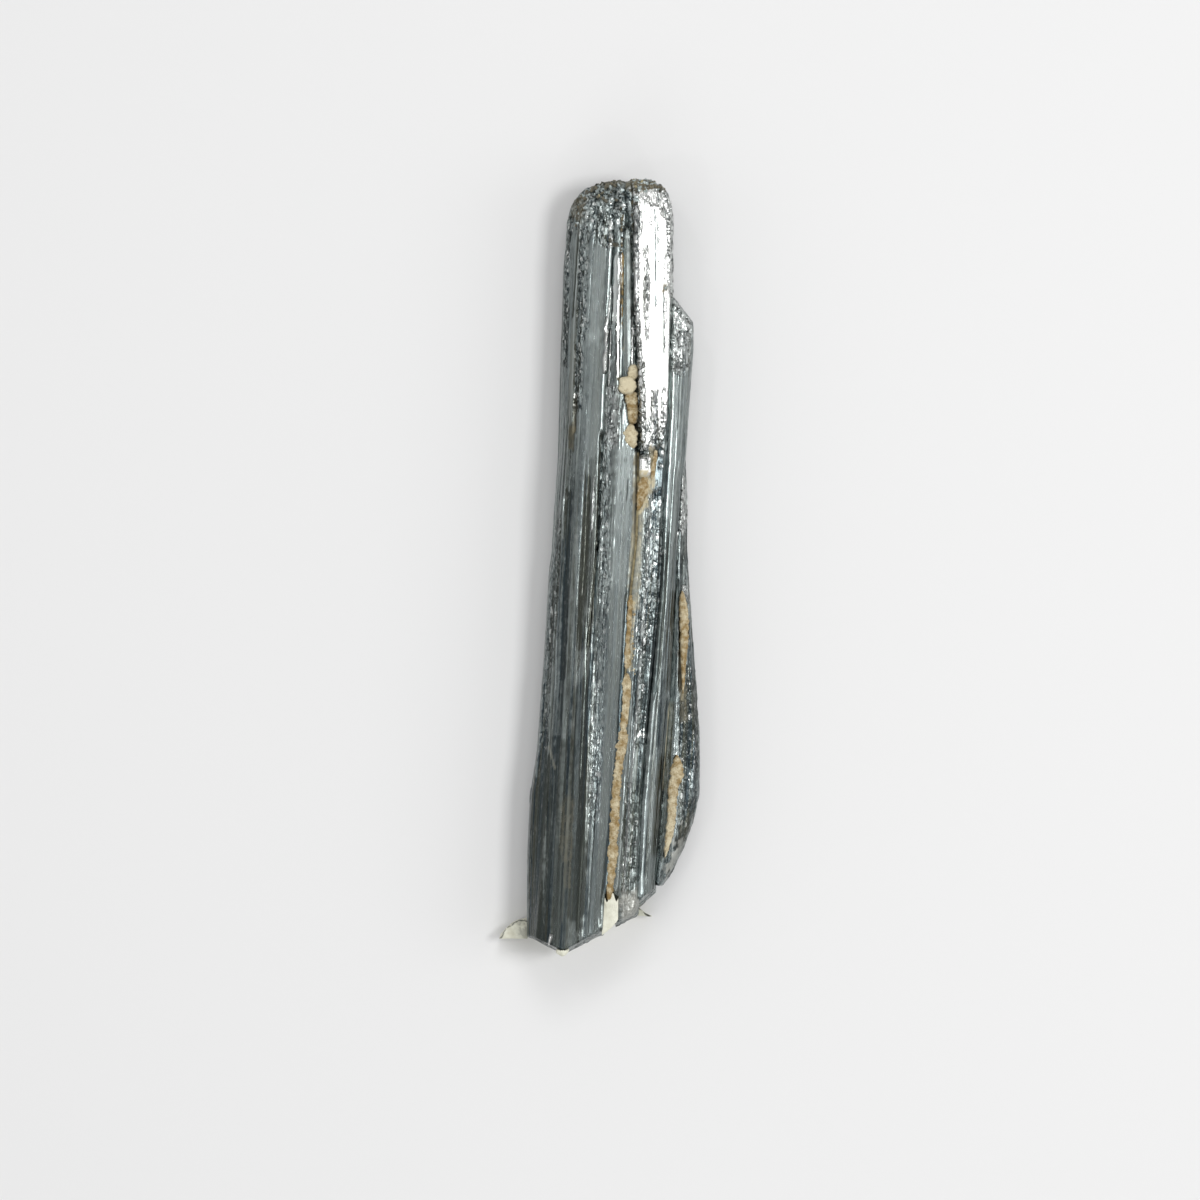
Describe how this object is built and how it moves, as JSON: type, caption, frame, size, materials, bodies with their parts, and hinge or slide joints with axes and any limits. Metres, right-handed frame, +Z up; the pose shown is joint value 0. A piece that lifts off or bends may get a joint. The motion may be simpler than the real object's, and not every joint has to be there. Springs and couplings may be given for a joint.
{
  "type": "stibnite crystal group",
  "caption": "Long side-by-side group of striated, lead-grey stibnite prisms with ochre clay in the seams and pale calcite at the broken foot.",
  "frame": {"origin": "middle of the area that the group covers, on the surface that it lies on", "axes": "+Y along the prisms towards the rounded crown, +Z up out of the front faces, +X across the prisms towards the small side prisms"},
  "size_m": [0.0286, 0.1098, 0.0144],
  "materials": {
    "stibnite": "satin",
    "ochre": "matte",
    "calcite": "satin"
  },
  "bodies": {
    "root": {"left_crystal": "stibnite", "right_crystal": "stibnite", "seam_blade": "stibnite", "flank_crystal": "stibnite", "side_crystal": "stibnite", "ochre_seam_lower": "ochre", "ochre_seam_upper": "ochre", "ochre_chip": "ochre", "ochre_patch": "ochre", "ochre_side_upper": "ochre", "ochre_side_lower": "ochre", "calcite_lens": "calcite", "calcite_crumb": "calcite"}
  },
  "joints": []
}
